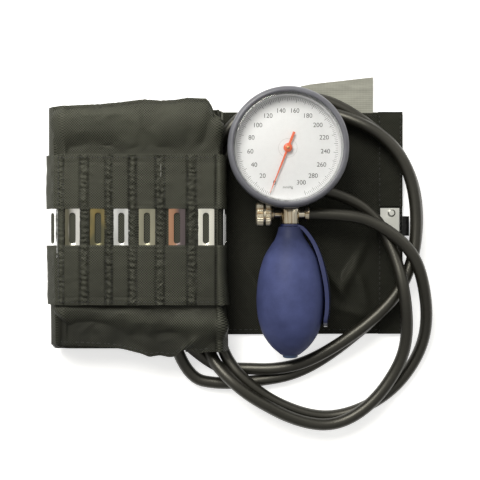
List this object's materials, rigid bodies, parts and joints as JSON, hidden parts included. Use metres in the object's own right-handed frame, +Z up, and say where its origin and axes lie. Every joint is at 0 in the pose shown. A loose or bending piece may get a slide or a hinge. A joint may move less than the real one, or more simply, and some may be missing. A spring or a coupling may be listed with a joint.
{
  "type": "aneroid sphygmomanometer",
  "caption": "Aneroid blood pressure monitor put away: hook cuff rolled up with its slotted bars, dial gauge with valve, squeeze bulb and finger rest, and coiled rubber hoses.",
  "frame": {"origin": "middle of the footprint of everything but the hoses, on the resting surface", "axes": "+Z up from the table, +X from the rolled cuff towards the hook end, +Y from the bulb towards the dial"},
  "size_m": [0.224, 0.2094, 0.0412],
  "materials": {
    "nylon": "coarse woven nylon, satin sheen",
    "lining": "smooth woven nylon",
    "webbing": "light grey woven tape",
    "hose_rubber": "satin",
    "bulb_rubber": "matte",
    "rest_plastic": "gloss",
    "case_plastic": "satin",
    "lens_clear": "polished",
    "dial_white": "matte print",
    "pointer_red": "satin",
    "bar_steel": "polished",
    "hook_steel": "satin",
    "hook_black": "black oxide",
    "valve_nickel": "polished nickel",
    "brass": "satin",
    "capsule_bronze": "satin",
    "spring_steel": "satin",
    "seal_rubber": "satin",
    "valve_plastic": "satin"
  },
  "bodies": {
    "cuff_and_gauge": {"air_bladder": "hose_rubber", "bezel_ring": "case_plastic", "bladder_ports": "valve_plastic", "bulb": "bulb_rubber", "capsule_seat": "brass", "clasp_bar_1": "bar_steel", "clasp_bar_2": "bar_steel", "clasp_bar_3": "bar_steel", "clasp_bar_4": "bar_steel", "clasp_bar_5": "bar_steel", "clasp_bar_6": "bar_steel", "clasp_bar_7": "bar_steel", "clasp_bar_8": "bar_steel", "cuff_cover": "nylon", "cuff_lining": "lining", "dial_plate": "dial_white", "end_band": "nylon", "gauge_case": "case_plastic", "gauge_nipple": "brass", "hairspring": "spring_steel", "hook_plate": "hook_steel", "hook_rivets": "hook_steel", "hook_tongue": "hook_black", "hose_bulb": "hose_rubber", "hose_gauge": "hose_rubber", "hose_union": "valve_nickel", "inlet_cage": "valve_plastic", "inlet_valve": "valve_plastic", "lens": "lens_clear", "lens_gasket": "seal_rubber", "loop_tab": "webbing", "lower_plate": "brass", "movement_pillars": "brass", "movement_screws": "spring_steel", "outlet_seat": "valve_plastic", "pocket_band_lower": "nylon", "pocket_band_upper": "nylon", "pressure_capsule": "capsule_bronze", "upper_plate": "brass", "valve_block": "valve_nickel", "valve_bush": "valve_nickel"},
    "sector": {"sector_gear": "brass"},
    "pointer_arbor": {"pinion_arbor": "spring_steel", "pointer": "pointer_red", "pointer_cap": "brass"},
    "rocker_shaft": {"rocker": "spring_steel"},
    "capsule_top": {"capsule_post": "brass"},
    "needle_seal": {"valve_seal": "seal_rubber"},
    "knob": {"valve_knob": "valve_nickel", "valve_needle": "valve_nickel"},
    "spoon": {"finger_rest": "rest_plastic"},
    "outlet_flap": {"outlet_disc": "seal_rubber"},
    "inlet_flap": {"inlet_disc": "seal_rubber"}
  },
  "joints": [
    {"name": "sector_swing", "type": "hinge", "parent": "cuff_and_gauge", "child": "sector", "pos_m": [0.014, 0.037, 0.0248], "axis": [0, 0, 1], "range_deg": [0, 45.43]},
    {"name": "pointer_turn", "type": "hinge", "parent": "cuff_and_gauge", "child": "pointer_arbor", "pos_m": [0.032, 0.037, 0.0248], "axis": [0, 0, -1], "range_deg": [0, 318.1]},
    {"name": "rocker_tilt", "type": "hinge", "parent": "cuff_and_gauge", "child": "rocker_shaft", "pos_m": [0.022, 0.037, 0.0196], "axis": [-1, 0, 0], "range_deg": [0, 24.1]},
    {"name": "capsule_lift", "type": "slide", "parent": "cuff_and_gauge", "child": "capsule_top", "axis": [0, 0, 1], "range_m": [0, 0.00105]},
    {"name": "seal_travel", "type": "slide", "parent": "cuff_and_gauge", "child": "needle_seal", "axis": [-1, 0, 0], "range_m": [0, 0.00142]},
    {"name": "knob_turn", "type": "hinge", "parent": "needle_seal", "child": "knob", "pos_m": [0.0186, 0, 0.0219], "axis": [-1, 0, 0], "range_deg": [0, 720]},
    {"name": "finger_rest_swivel", "type": "hinge", "parent": "cuff_and_gauge", "child": "spoon", "pos_m": [0.0338, -0.0066, 0.0219], "axis": [0, -1, 0], "range_deg": [0, 180]},
    {"name": "outlet_lift", "type": "slide", "parent": "cuff_and_gauge", "child": "outlet_flap", "axis": [0, 1, 0], "range_m": [0, 0.0008]},
    {"name": "inlet_lift", "type": "slide", "parent": "cuff_and_gauge", "child": "inlet_flap", "axis": [0, 1, 0], "range_m": [0, 0.0008]}
  ],
  "couplings": [
    {"joint": "pointer_turn", "follows": "sector_swing", "ratio": 7},
    {"joint": "rocker_tilt", "follows": "sector_swing", "ratio": 0.5283},
    {"joint": "capsule_lift", "follows": "sector_swing", "m_per_rad": 0.0013112},
    {"joint": "seal_travel", "follows": "knob_turn", "m_per_rad": 0.00011141}
  ]
}
